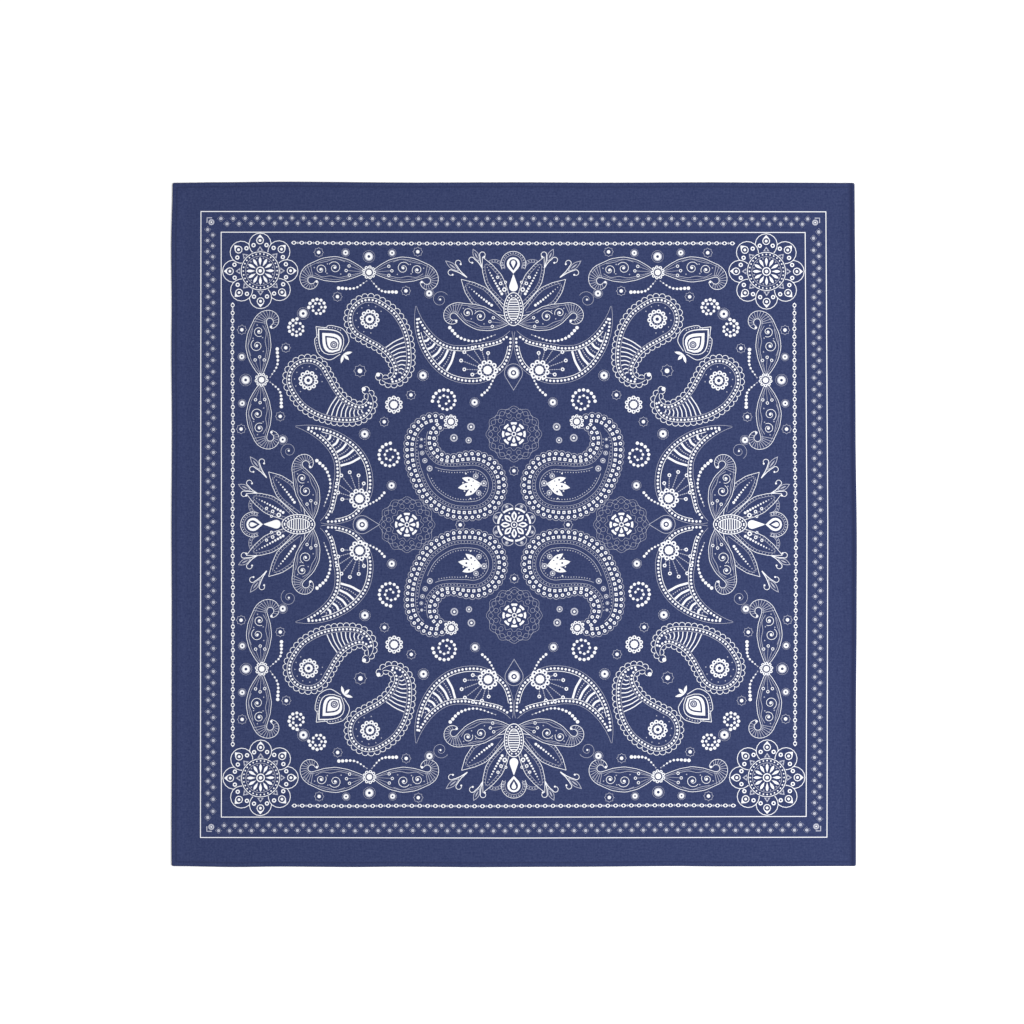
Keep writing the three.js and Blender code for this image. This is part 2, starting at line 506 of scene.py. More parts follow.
@motif
def scroll_leaf(d, length=76, half_width=11.5, bend=-20, curl=-245):
    """A leaf that ends in a curl, filled with scrolls"""
    form = Form(length, half_width, LEAF_WIDTHS, bend, curl, 0.6)
    d.blob(form.outline(round_head=False), BARE)
    for side in (1, -1):
        d.line(form.side(side), LINE)
        d.line(form.side(side, 1.7, end=0.72), FINE_LINE)
    d.dot(form.at(1.0), 1.1)
    for share in np.linspace(0.63, 0.94, 13):
        d.line([form.at(share, 0.9), form.at(share + 0.012, -0.9)], THIN_LINE)
    for share, side, size, start, turns in ((0.53, 0.0, 0.42, 200, -1.5), (0.37, 0.12, 0.5, 20, 1.6)):
        centre = form.at(share, side)
        d.line(spiral(centre, half_width * size, 0.7, start, turns), LINE)
        d.dot(centre, 1.1)
    for places in (((0.2, -0.6), (0.32, -0.68), (0.42, -0.55), (0.52, -0.7), (0.6, -0.4)),
                   ((0.26, 0.72), (0.36, 0.82), (0.46, 0.66), (0.56, 0.7))):
        d.line(curve(*[form.at(*place) for place in places]), THIN_LINE)
    for share, side in ((0.21, 0.4), (0.24, -0.08), (0.2, -0.55)):
        d.line([form.at(0.03), form.at(share - 0.02, side)], FINE_LINE)
        d.ring(form.at(share, side), 1.35, 0.55)
    for share, side in ((0.3, -0.4), (0.45, 0.45), (0.46, -0.35), (0.6, 0.3)):
        d.dot(form.at(share, side), 0.6)


@motif
def star_flower(d, radius=4.5):
    """A dot inside eight small open petals"""
    angles = np.arange(0, 360, 15.0)
    wave = np.where(np.arange(24) % 3 == 0, radius, radius * 0.82)
    outline = polar(wave, angles)
    d.shape(outline, THIN_INK)
    d.shape(outline * (1 - 0.4 / radius), BARE)
    d.dot(0, radius * 0.36)


@motif
def target_disc(d, radius):
    """A ring in a pale halo and a fine circle"""
    d.ring(0, radius, LACE_LINE)
    d.layers(0, (radius * 0.74, THIN_INK), (radius * 0.56, INK), (radius * 0.25, BARE))


@motif
def curl(d, radius):
    """A fine spiral with a dot at its heart"""
    d.line(spiral(0, radius, 1.4, 150, -1.5), FINE_LINE)
    d.dot(0, 0.9)


@motif
def bead_spiral(d, radius=10.5):
    path = spiral(0, radius, 2.2, 0, 1.7)
    d.line(path, FINE_LINE)
    d.beads(path, 3.5, 1.45, 1.05)


GREAT_WIDTHS = [(0, 1), (0.14, 0.99), (0.28, 0.86), (0.42, 0.64), (0.58, 0.5), (0.74, 0.42), (0.88, 0.3),
                (1, 0.1)]


@motif
def great_paisley(d):
    """The large beaded paisley of the middle: head at 0, set out along +x"""
    form = Form(94, 27.5, GREAT_WIDTHS, 150, 62, 0.6)
    scallops = form.outline(1.6, 5.1, 0.985)
    d.layers(scallops, (3.1, THIN_INK), (2.75, BARE))
    d.blob(form.outline(2.6, 0.8, 0.985), BARE)
    for at in scallops:
        d.ring(at, 1.45, 0.8)
    squares = form.outline(5.7, 4.4, 0.985)
    for at, left in zip(squares, sideways(squares)):
        along = left * 1j
        d.shape([at + 1.2 * (left + along), at + 1.2 * (left - along),
                 at - 1.2 * (left + along), at - 1.2 * (left - along)])
        d.dot(at, 0.6, BARE)
    d.line(form.outline(8.3, end=0.93), FINE_LINE)
    d.beads(form.outline(9.6, end=0.88), 2.6, 0.5)
    d.line(form.outline(10.9, end=0.82), FINE_LINE)
    d.line(form.outline(14.4, end=0.4), THIN_LINE)
    d.beads(form.outline(16.3, end=0.36), 2.2, 0.5)
    for share, radius in ((0.42, 2.5), (0.5, 2.2), (0.57, 1.9), (0.63, 1.6), (0.69, 1.3)):
        d.disc(form.at(share), radius)
    # A spray of leaves and rings in the head
    root = -8 + 0j
    for angle, length, width in ((0, 20, 5.6), (26, 17, 4.6), (-26, 17, 4.6)):
        d.leaf(root, root + polar(length, angle), width, belly=0.62)
        d.dot(root + polar(length * 0.66, angle), 0.9, BARE)
        d.dot(root + polar(length * 0.44, angle), 0.6, BARE)
    for angle in (60, -60):
        d.disc(root + polar(8, angle), 2.3)
    d.disc(root - 1.5, 2.5)
    for angle in (13, -13, 42, -42):
        d.dot(root + polar(15.5, angle), 0.7)
    # A small bloom closes the tip
    tip = form.at(1.0)
    d.add(daisy(5.8, 9), tip - 2.5 + 1.0j)


@motif
def daisy(d, radius, petals=10):
    """A white core in a dotted ring of round petals"""
    reach = radius * 0.76
    bulb = reach * np.sin(np.pi / petals) * 1.02
    middles = 360 * (np.arange(petals) + 0.5) / petals
    d.layers(polar(reach, middles), (bulb, INK))
    d.layers(polar(reach * 1.04, middles), (bulb * 0.42, BARE))
    d.dot(0, radius * 0.62, BARE)
    collar = polar(radius * 0.55, np.arange(0, 360, 360 / (petals * 1.4)))
    d.beads(collar, radius * 0.3, radius * 0.05, closed=True)
    d.dot(0, radius * 0.42)


@motif
def corner_rosette(d):
    """Eight round petals about a sunburst"""
    for angle in about(8):
        petal = Drawing()
        petal.ring(0, 9.3, 0.55)
        petal.drop(3.0 + 0j, 8.0 + 0j, 3.2)
        petal.dot(3.0, 2.5, BARE)
        petal.dot(3.0, 1.2)
        for side in (1, -1):
            petal.ring(-0.8 + 5.3j * side, 1.8, 0.9)
        petal.shape([-8.5 - 4.8j, -1.6, -8.5 + 4.8j], THIN_INK)
        petal.dot(-4.3, 1.0, BARE)
        d.add(petal, polar(21.8, angle), turn=angle)
    d.dot(0, 16.6, BARE)
    d.ring(0, 15.9, 0.55)
    d.beads(arc(0, 13.9, 0, 360)[:-1], 3.1, 0.7, closed=True)
    d.ring(0, 12.3, THIN_LINE)
    for angle in about(12):
        d.leaf(polar(4.2, angle), polar(11.4, angle), 2.4, belly=0.6)
        d.dot(polar(10.6, angle + 15), 0.6)
    d.ring(0, 3.6, 0.9)
    d.dot(0, 1.5)


@motif
def centre_medallion(d):
    """A bold eight-petalled flower in a scalloped ring"""
    d.layers(polar(13.2, about(8, 22.5)), (5.3, THIN_INK), (4.7, BARE))
    d.layers(0, (14.0, INK), (12.4, BARE))
    for angle in about(8):
        d.line([polar(11.0, angle), polar(15.0, angle)], 1.6, look=BARE)
        d.disc(polar(16.0, angle + 22.5), 1.5)
        d.leaf(polar(2.6, angle), polar(11.0, angle), 4.6, belly=0.58)
        d.dot(polar(10.2, angle + 22.5), 0.7)
        d.leaf(polar(4.6, angle), polar(9.4, angle), 1.6, BARE)
    d.dot(0, 3.6, BARE)
    d.ring(0, 2.8, 0.7)
    d.dot(0, 0.9)


@motif
def lace_mandala(d):
    """Fine looping lines about a small bold flower"""
    angles = np.arange(0, 360, 3.0)
    for radius, depth, loops, phase in ((21.8, 0.05, 12, 0), (19.2, 0.1, 12, 15), (19.2, 0.1, 12, 0),
                                        (12.4, 0.09, 12, 0)):
        wave = radius * (1 + depth * np.cos(np.radians(loops * (angles - phase))))
        d.line(polar(wave, angles), LACE_LINE, closed=True)
    for angle in about(12, 15):
        d.ring(polar(15.4, angle), 2.0, LACE_LINE)
    d.layers(0, (9.8, INK), (8.0, BARE))
    for angle in about(8):
        d.line([polar(7.0, angle + 22.5), polar(10.6, angle + 22.5)], 2.2, look=BARE)
        d.drop(polar(5.6, angle), polar(2.2, angle), 1.4)
    d.ring(0, 2.0, 0.8)


@motif
def hanging_drop(d):
    """A target in a pointed drop, its point downwards"""
    d.drop(0j, -14.5j, 7.6, THIN_INK)
    d.drop(0j, -13.7j, 7.2, BARE)
    d.layers(0, (5.0, THIN_INK), (4.0, INK), (2.3, BARE), (1.2, INK))


@motif
def bud(d):
    """A layered bud, pointing up from its stalk at 0"""
    for width, low, high, look in ((18.0, 2.0, 24.5, INK), (17.0, 2.5, 23.4, BARE),
                                   (13.6, 3.6, 20.4, INK), (9.6, 4.8, 17.6, BARE),
                                   (7.6, 5.6, 16.0, INK)):
        d.leaf(low * 1j, high * 1j, width, look, belly=0.4)
    d.dot(9.2j, 2.5, BARE)
    d.disc(9.2j, 1.8)
    for side in (1, -1):
        d.line(curve(side * 1.5 + 1.5j, side * 9.5 + 4j, side * 12 + 12j, side * 8.5 + 19j), LINE)
        d.line(curve(side * 8.5 + 19j, side * 6.5 + 21j, side * 4 + 21.5j, 26.5j), LINE)
        d.beads(curve(side * 10.2 + 13j, side * 7.2 + 18.5j, side * 3 + 21.5j), 1.9, 0.5)
        d.leaf(0, side * 5.5 - 3.2j, 2.0)
    d.leaf(0, -5.5j, 2.2)


PETAL_WIDTHS = [(0, 0.1), (0.2, 0.55), (0.45, 0.95), (0.6, 1), (0.8, 0.66), (1, 0)]


@motif
def veined_petal(d, length, half_width, bend=0.0):
    """A petal with ticks along its rim and beads down its middle"""
    form = Form(length, half_width, PETAL_WIDTHS, bend)
    d.blob(form.outline(round_head=False), BARE)
    for side in (1, -1):
        d.line(form.side(side), LINE)
        d.line(form.side(side, 2.4, 0.1, 0.9), FINE_LINE)
        for share in np.arange(0.24, 0.88, 2.5 / length):
            d.line([form.at(share, side), form.at(share, side, 2.4)], FINE_LINE)
    middle = np.array([form.at(s) for s in np.linspace(0.32, 0.86, 16)])
    d.beads(middle, 2.5, 1.2, 0.45)


@motif
def sprig(d, length=15.0):
    """Two stems with curled ends about a small leaf, set out along +x"""
    stem = curve(0, length * 0.45 + 0.8j, length * 0.8 + 2.6j)
    hook = arc(stem[-1] + 2.3j, 2.3, -75, 165)
    for path in (np.concatenate([stem, hook]), np.concatenate([stem, hook]).conj()):
        d.line(path, 0.75, LINE)
        d.dot(path[-1], 0.85)
    d.leaf(length * 0.5 + 0j, length * 1.4 + 0j, 4.8, THIN_INK)
    d.leaf(length * 0.58 + 0j, length * 1.33 + 0j, 3.8, BARE)
    d.leaf(length * 0.7 + 0j, length * 1.15 + 0j, 1.1, THIN_INK)


def oval(centre, across, up):
    angles = np.radians(np.arange(0, 360, 10))
    return centre + across * np.cos(angles) + 1j * up * np.sin(angles)


@motif
def side_palmette(d):
    """A fan of petals about a seed, standing on 0 and pointing up"""
    half = Drawing()
    half.add(sprig(16), 38 + 41j, turn=38)
    half.add(sprig(13), 25 + 48j, turn=64)
    for radius in (8.6, 6.2):
        half.line(arc(15.5 + 47j, radius, -40, 175), THIN_LINE)
    half.beads(arc(15.5 + 47j, 7.4, -30, 165), 2.3, 0.6)
    half.add(veined_petal(50, 7.5, 10), 1 + 14j, turn=56)
    half.add(veined_petal(48, 8.5, 16), 5 + 10j, turn=30)
    half.add(scroll_leaf(68, 10, 40, -262), 3 + 3j, turn=4)
    for at, radius in ((7.5 + 31j, 1.9), (10.5 + 36j, 1.5), (6.5 + 37j, 1.2), (13 + 41j, 1.3)):
        half.ring(at, radius, radius * 0.5)
    d.add(half)
    d.add(half, flip=True)
    middle = 15j
    d.blob(oval(middle, 8.2, 13.8))
    d.blob(oval(middle, 7.5, 13.1), BARE)
    d.beads(oval(middle, 6.3, 11.4), 2.5, 0.75, closed=True)
    d.blob(oval(middle, 5.1, 9.6))
    d.blob(oval(middle, 4.4, 8.9), BARE)
    for k in range(-4, 5):
        reach = 4.2 * np.sqrt(1 - (k / 5) ** 2)
        d.line([middle + k * 1.9j - reach, middle + k * 1.9j + reach], 0.8)
    for base, tip, radius, look in ((33j, 44j, 3.6, INK), (52j, 43j, 6.0, BARE), (52j, 44j, 5.4, INK),
                                    (52.4j, 46.4j, 3.5, BARE), (53j, 48.6j, 1.9, INK)):
        d.drop(base, tip, radius, look)
    d.line(arc(52j, 7.4, -25, 205), THIN_LINE)
    d.line(arc(52j, 10.2, -25, 205), LINE)
    d.beads(arc(52j, 8.8, -22, 202), 2.2, 0.6)


WING_WIDTHS = [(0, 0.05), (0.08, 0.36), (0.2, 0.82), (0.34, 1), (0.5, 0.88), (0.68, 0.56), (0.86, 0.27),
               (1, 0.02)]


@motif
def beaded_wing(d):
    """A broad paisley edged with beads, from its stalk at 0, set out along +x and turning left"""
    form = Form(118, 16.5, WING_WIDTHS, 185, -25, 0.6)
    for side in (1, -1):
        d.line(form.side(side), FINE_LINE)
        d.beads(form.side(side, 2.3, 0.05, 0.97), 3.0, 1.05)
        d.line(form.side(side, 4.4, 0.1, 0.86), 0.5)
    for k, share in enumerate(np.linspace(0.52, 0.86, 13)):
        if form.width(share) < 6.2:
            continue
        ends = [form.at(share + 0.008, 1, 5.0), form.at(share), form.at(share + 0.008, -1, 5.0)]
        if k % 2 == 0:
            d.line(curve(*ends), 1.7)
        else:
            d.beads(curve(*ends), 1.9, 0.6)
    root = form.at(0.29, -0.5)
    aim = form.at(0.43, 0.5) - root
    for angle, length in ((-50, 13), (-32, 19), (-14, 23), (4, 24), (22, 22), (40, 18), (58, 14)):
        tip = root + aim / abs(aim) * polar(length, angle)
        d.line([root, tip], LACE_LINE)
        d.beads(np.array([root + (tip - root) * 0.45, root + (tip - root) * 0.85]), 1.9, 0.5)
        d.ring(tip, 1.6, 0.85)
    d.add(daisy(8.4, 9), root)


GARDEN_WIDTHS = [(0, 1), (0.16, 0.98), (0.32, 0.82), (0.5, 0.6), (0.66, 0.44), (0.82, 0.26), (1, 0.06)]


@motif
def garden_paisley(d):
    """A middle-sized paisley with a flower in its head: head at 0, set out along +x and turning left"""
    form = Form(78, 19.5, GARDEN_WIDTHS, 95, 125, 0.58)
    rim = form.outline(1.2, 5.0, 0.98)
    d.layers(rim, (2.85, INK), (2.42, BARE))
    d.blob(form.outline(1.6, 0.8, 0.98), BARE)
    d.line(form.outline(2.0, end=0.98), LINE)
    d.beads(form.outline(3.9, end=0.95), 3.0, 1.0)
    d.line(form.outline(5.8, end=0.86), THIN_LINE)
    for share in np.linspace(0.36, 0.74, 10):
        ends = [form.at(share + 0.01, 1, 6.4), form.at(share), form.at(share + 0.01, -1, 6.4)]
        if form.width(share) > 7:
            d.line(curve(*ends), 0.8)
    d.add(daisy(8.2, 10), 0.5 + 0j)
    d.dot(0.5, 1.6, BARE)
    d.layers(0.5 + polar(11.3, np.arange(60, 301, 30)), (0.55, INK))
    d.dot(form.at(1.0), 1.7)


# The borders
OUTER_RULE, INNER_RULE = 255.8, 238.8
BAND_OUTER, BAND_INNER, BAND_PITCH, BAND_DOT = 249.9, 245.6, 9.4, 1.38
BAND_HALO, HALO_LINE = 2.7, 0.13
CHAIN_LINE, CHAIN_PITCH, CHAIN_REACH = 229.7, 6.4, 180.0
DIAMOND = np.array([0.0, 90.0, 180.0, 270.0])
RING = np.array([2.1 + 0.35j, 0.6 + 1.5j])        # a diamond with its corners cut
RING = np.concatenate([RING, -RING[::-1].conj(), -RING, RING[::-1].conj()])


def rule(half_side):
    """Two sides of a square, meeting at the corner"""
    low, high = half_side - BOLD_LINE / 2, half_side + BOLD_LINE / 2
    return [-5 + low * 1j, low + low * 1j, low - 5j, high - 5j, high + high * 1j, -5 + high * 1j]


@motif
def top_border(d):
    """The part of the borders that runs along the top edge"""
    for k in range(26):
        for at in ((k + 0.5) * BAND_PITCH + BAND_OUTER * 1j, k * BAND_PITCH + BAND_INNER * 1j):
            d.shape(at + polar(BAND_HALO, DIAMOND), THIN_INK)
            d.shape(at + polar(BAND_HALO - 1.4 * HALO_LINE, DIAMOND), BARE)
            d.dot(at, BAND_DOT, THIN_INK)
    for k in range(int(CHAIN_REACH / CHAIN_PITCH) + 1):
        at = k * CHAIN_PITCH + CHAIN_LINE * 1j
        d.shape(at + RING)
        d.shape(at + polar(1.2, DIAMOND), BARE)
        if k < int(CHAIN_REACH / CHAIN_PITCH):
            d.shape(at + CHAIN_PITCH / 2 + polar(1.1, DIAMOND), THIN_INK)


@motif
def corner_block(d):
    middle = 247.6 * (1 + 1j)
    d.line([middle - 1 + 3.0j, middle + 3.0 + 3.0j, middle + 3.0 - 1j], 0.9, look=THIN_INK)
    d.layers(middle - 0.6 - 0.6j, (2.5, THIN_INK), (1.3, BARE), (0.75, INK))


LEAF_NODE = 118 + 206j


@motif
def eighth(d):
    """Everything on the upper side of the diagonal that its mirror image repeats on the other"""
    d.add(top_border())
    # Leaves along the edge, with targets and stars above them
    d.add(scroll_leaf(72, 10.5, -26), LEAF_NODE + 1.5, turn=10)
    d.add(scroll_leaf(72, 10.5, -26), LEAF_NODE - 1.5, turn=-10, flip=True)
    d.add(daisy(5.6, 9), LEAF_NODE)
    for at, radius in ((118 + 219j, 5.0), (137 + 222j, 3.4), (99 + 222j, 3.4)):
        d.add(target_disc(radius), at)
    for at in (78 + 223j, 159 + 222j, 144 + 186j, 88 + 191j, 84 + 106j):
        d.add(star_flower(4.2), at)
    d.add(bead_spiral(7.5), 160 + 177j)
    d.add(curl(7.0), 60 + 184j)
    d.string(116 + 199j, 108 + 191j, 96 + 190j)
    d.string(120 + 199j, 130 + 193j, 143 + 193j)
    # The wing below the side palmette, and the paisleys that face each other over the diagonal
    d.add(beaded_wing(), 2 + 158j, turn=-75)
    d.add(garden_paisley(), 118 + 168j, turn=-155)
    d.string(15 + 155j, 31 + 150j, 44 + 153j, 52 + 161j)
    d.add(bead_spiral(), 56 + 101j)
    d.string(26 + 106j, 20 + 112j, 12 + 128j, first=1.2, last=0.6)
    for at, radius in ((74 + 122j, 4.6), (32 + 100j, 4.0), (69 + 189j, 4.0)):
        d.add(target_disc(radius), at)


@motif
def whole_print(d):
    """The quarter of the print to the upper right of its middle"""
    for half_side in (OUTER_RULE, INNER_RULE):
        d.shape(rule(half_side))
    d.add(corner_block())
    part = eighth()
    d.add(part)
    for corners, look in part.shapes:
        d.shape(corners.imag + 1j * corners.real, look)
    d.add(corner_rosette(), 206.9 * (1 + 1j))
    d.add(great_paisley(), 34 + 32.2j, turn=-10)
    d.add(centre_medallion())
    d.add(lace_mandala(), 74j)
    d.add(lace_mandala(), 87.5)
    for turn in (0, -90):
        place = polar(1, 90 + turn)
        d.add(star_flower(4.2), place * 44)
        d.add(side_palmette(), place * 161, turn=turn)
        d.add(hanging_drop(), place * 124, turn=turn)
    d.add(bud(), 139 * (1 + 1j), turn=-45, scale=1.2)
    d.add(daisy(7.4, 10), 98 * (1 + 1j))
    d.add(star_flower(5.4), 125.5 * (1 + 1j))
    d.add(target_disc(5), 172 * (1 + 1j))
    for at, radius in ((35 + 80j, 3.2), (37 + 69j, 2.6), (49 + 71j, 3.2)):
        d.disc(at, radius)


# The lie of the cloth
def smooth_step(share):
    share = np.clip(share, 0, 1)
    return share * share * (3 - 2 * share)


def bow_at(rows, place):
    """How far an edge bows out at each place along it"""
    at, out = np.array(rows, dtype=float).T
    place = np.clip(place, at[0], at[-1])
    row = np.clip(np.searchsorted(at, place, side="right") - 1, 0, len(at) - 2)
    share = smooth_step((place - at[row]) / (at[row + 1] - at[row]))
    return out[row] + (out[row + 1] - out[row]) * share


def rounded(u, v):
    """The same points with the square's corners drawn in to a small radius"""
    p = np.maximum(1 - (HALF - np.abs(u)) / CORNER_RADIUS, 0)
    q = np.maximum(1 - (HALF - np.abs(v)) / CORNER_RADIUS, 0)
    drawn_in = CORNER_RADIUS * (1 - np.maximum(p, q) / np.maximum(np.hypot(p, q), 1e-9))
    return u - np.sign(u) * p * drawn_in, v - np.sign(v) * q * drawn_in


def bowed(u, v):
    """Points of the true square, where they lie on the cloth with its bowed edges"""
    u, v = rounded(u, v)
    to_right = (u / HALF + 1) / 2
    to_top = (v / HALF + 1) / 2
    x = u + to_right * bow_at(EDGE_BOWS["right"], v) - (1 - to_right) * bow_at(EDGE_BOWS["left"], v)
    y = v + to_top * bow_at(EDGE_BOWS["top"], u) - (1 - to_top) * bow_at(EDGE_BOWS["bottom"], u)
    return x, y


def cloth_shift():
    """From the middle of the true square to the middle of the CAD panel's box"""
    along = np.linspace(-HALF, HALF, 400)
    edge = np.full_like(along, HALF)
    left, right = bowed(-edge, along)[0].min(), bowed(edge, along)[0].max()
    bottom, top = bowed(along, -edge)[1].min(), bowed(along, edge)[1].max()
    low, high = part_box("panel")
    middle = (Vector(low) + Vector(high)) / 2 / MM
    return middle.x - (left + right) / 2, middle.y - (bottom + top) / 2


SHIFT = cloth_shift()


def inset_of(u, v):
    return HALF - np.maximum(np.abs(u), np.abs(v))


def rise(u, v):
    """How far the cloth's lowest layer stands off the floor, never below it"""
    height = np.zeros_like(u)
    for length, degrees, depth, start in SLOW_WAVES:
        along = u * math.cos(math.radians(degrees)) + v * math.sin(math.radians(degrees))
        height += depth * (1 + np.sin(math.tau * along / length + start))
    height *= smooth_step(inset_of(u, v) / SLOW_WAVES_FULL_AT)
    near_edge = np.exp(-np.maximum(inset_of(u, v), 0) / HEM_RIPPLE_REACH)
    for length, depth, start in HEM_RIPPLES:
        ripple = 1 + np.sin(math.tau * u / length + start) * np.cos(math.tau * v / length + 2 * start)
        height += depth * near_edge * ripple
    return height


def underside(u, v):
    """Height of the panel's lower face: on the floor, or on the turned layers at the hems"""
    share = smooth_step((inset_of(u, v) - HEM_RAMP_START) / HEM_RAMP_LENGTH)
    return rise(u, v) + (TURNED_LAYERS + LAYER_GAP) * (1 - share)


def upper_face(u, v):
    return underside(u, v) + CLOTH


def placed(u, v, height):
    """Mesh points, in metres"""
    x, y = bowed(u, v)
    return np.stack([x + SHIFT[0], y + SHIFT[1], height], axis=-1) * MM


def upper_normals(u, v):
    step = 1.5
    slope_u = (upper_face(u + step, v) - upper_face(u - step, v)) / (2 * step)
    slope_v = (upper_face(u, v + step) - upper_face(u, v - step)) / (2 * step)
    normals = np.stack([-slope_u, -slope_v, np.ones_like(u)], axis=-1)
    return normals / np.linalg.norm(normals, axis=-1, keepdims=True)


# The printed face, cut along the edges of its ink
PRINT_EDGE = 263.5               # the print and its few plain millimetres round it
EDGE_STATIONS = 24               # sections along half of each side
CORNER_STEP = 0.7
QUADRANT_GRID = 20.0
MERGE_WITHIN = 0.004
BEND_SLACK = 0.07                # how far a point may leave its neighbours' line and still be left out


def rim_stations():
    """Places along half a side of the print, closer together where the corner turns"""
    even = np.linspace(0, PRINT_EDGE - 2 * CORNER_STEP, EDGE_STATIONS - 1)
    return np.append(even, [PRINT_EDGE - CORNER_STEP, PRINT_EDGE])


# The band of dots stands further round the cloth than its mirrored quarters would put it:
# a place along a side, clockwise, and how far the band moves on there
BAND_MOVES = [(-243.0, 0.0), (-236.0, 0.8), (-205.0, 2.2), (0.0, 2.4), (170.0, 2.7), (215.0, 2.6),
              (240.0, 1.2), (242.4, 1.2), (244.4, 0.0)]
BAND_FROM_RULE = 0.4             # no nearer than this to the rules does anything move
BAND_FADE = 3.0


def moved_on(points):
    """Points of the printed face, with the band between its rules moved on clockwise"""
    places, moves = np.array(BAND_MOVES).T

    def move(along, across):
        side = np.sign(across)
        above_inner = smooth_step((side * across - INNER_RULE - BAND_FROM_RULE) / BAND_FADE)
        below_outer = smooth_step((OUTER_RULE - BAND_FROM_RULE - side * across) / BAND_FADE)
        return side * above_inner * below_outer * np.interp(side * along, places, moves)

    u, v = points.T
    return np.stack([u + move(u, v), v - move(-v, u)], axis=-1)


def triangulated(points, edges, faces):
    flat, _, triangles, _, _, insides = delaunay_2d_cdt(
        [Vector((z.real, z.imag)) for z in points], edges, faces, 0, MERGE_WITHIN, True)
    flat = np.array([tuple(p) for p in flat])
    flat[np.abs(flat) < 2 * MERGE_WITHIN] = 0
    return flat[:, 0] + 1j * flat[:, 1], np.array(triangles), insides


def edges_between(triangles, looks):
    """Edges with another look on either side"""
    pairs = np.concatenate([triangles[:, ends] for ends in ([0, 1], [1, 2], [2, 0])])
    pairs = np.sort(pairs, axis=1)
    edges, which = np.unique(pairs, axis=0, return_inverse=True)
    which = which.ravel()
    beside = np.tile(looks, 3)
    lowest, highest = np.full(len(edges), THIN_INK), np.full(len(edges), BARE)
    np.minimum.at(lowest, which, beside)
    np.maximum.at(highest, which, beside)
    return edges[lowest < highest]


def look_of(covering, shape_looks):
    """What the topmost shape shows. Thin ink over full ink leaves it full"""
    look = BARE
    for index in sorted(covering, reverse=True):
        look = max(look, shape_looks[index])
        if shape_looks[index] != THIN_INK:
            return INK if shape_looks[index] == INK else look
    return look


def simpler_outlines(points, edges):
    """The edges without the points that hardly bend them"""
    neighbours = {}
    for a, b in edges.tolist():
        neighbours.setdefault(a, set()).add(b)
        neighbours.setdefault(b, set()).add(a)
    fixed = set()
    for point, ends in list(neighbours.items()):
        at = points[point]
        if point in fixed or len(ends) != 2 or min(at.real, at.imag) < MERGE_WITHIN:
            continue
        a, b = ends
        chord = points[b] - points[a]
        if b in neighbours[a] or abs(((at - points[a]) * np.conj(chord)).imag) > BEND_SLACK * abs(chord):
            continue
        neighbours[a].symmetric_difference_update((point, b))
        neighbours[b].symmetric_difference_update((point, a))
        del neighbours[point]
        fixed.update((a, b))
    return np.array([(a, b) for a, ends in neighbours.items() for b in ends if a < b])


def quadrant_faces(drawing):
    """Points, triangles and looks of the upper right quarter of the printed face.
    The overlapping shapes are cut up first. Then only the outlines of the ink are kept"""
    along = rim_stations()
    rim = np.concatenate([along[:-1], PRINT_EDGE + 1j * along[:-1],
                          along[:0:-1] + 1j * PRINT_EDGE, 1j * along[:0:-1]])
    points = list(rim)
    faces = [list(range(len(rim)))]
    shape_looks = [BARE]
    for corners, look in drawing.shapes:
        if corners.real.max() < 0 or corners.imag.max() < 0:
            continue
        turned = (corners.real * np.roll(corners.imag, -1) - np.roll(corners.real, -1) * corners.imag).sum()
        faces.append(list(range(len(points), len(points) + len(corners))))
        points.extend(corners if turned > 0 else corners[::-1])
        shape_looks.append(look)
    flat, triangles, insides = triangulated(points, [], faces)
    in_quarter = np.array([bool(inside) and min(inside) == 0 for inside in insides])
    looks = np.array([look_of(inside, shape_looks) for inside in insides])
    triangles, looks = triangles[in_quarter], looks[in_quarter]

    outlines = simpler_outlines(flat, edges_between(triangles, looks))
    used, renumbered = np.unique(outlines, return_inverse=True)
    grid = np.arange(QUADRANT_GRID, PRINT_EDGE - QUADRANT_GRID / 2, QUADRANT_GRID)
    extra = [x + 1j * y for x in grid for y in grid]
    count = len(used)
    rim_edges = [(count + k, count + (k + 1) % len(rim)) for k in range(len(rim))]
    edges = renumbered.reshape(-1, 2).tolist() + rim_edges
    tree = BVHTree.FromPolygons([(z.real, z.imag, 0) for z in flat], triangles.tolist())
    flat, triangles, _ = triangulated(np.concatenate([flat[used], rim, extra]), edges, [])
    middles = flat[triangles].mean(axis=1)
    hits = [tree.ray_cast(Vector((z.real, z.imag, 1)), Vector((0, 0, -1)))[2] for z in middles]
    return flat, triangles, np.array([BARE if hit is None else looks[hit] for hit in hits])


def mirrored_whole(points, faces, looks):
    """The quarter, mirrored over both middle lines and joined along them"""
    points = np.stack([points.real, points.imag], axis=-1)
    all_points, all_faces = [], []
    for side_x, side_y in ((1, 1), (-1, 1), (-1, -1), (1, -1)):
        outwards = side_x * side_y > 0
        all_faces.append((faces if outwards else faces[:, ::-1]) + len(points) * len(all_points))
        all_points.append(points * (side_x, side_y))
    all_points = np.concatenate(all_points)
    all_faces = np.concatenate(all_faces)
    used, all_faces = np.unique(all_faces, return_inverse=True)
    keys = np.round(all_points[used] / MERGE_WITHIN).astype(np.int64)
    _, first, same = np.unique(keys, axis=0, return_index=True, return_inverse=True)
    joined = same.reshape(-1)[all_faces.reshape(-1, 3)]
    whole = (joined[:, 0] != joined[:, 1]) & (joined[:, 1] != joined[:, 2]) & (joined[:, 2] != joined[:, 0])
    return all_points[used][first], joined[whole], np.tile(looks, 4)[whole]


# Sections of the panel's rim, from the print outwards, round the fold and back in underneath:
# how far in from the edge each lies
UPPER_INSETS = [13, 10.8, 9.2, 7.8, 6.6, 5.5, 4.4, 3.6, 2.8, 1.6, 0.7]
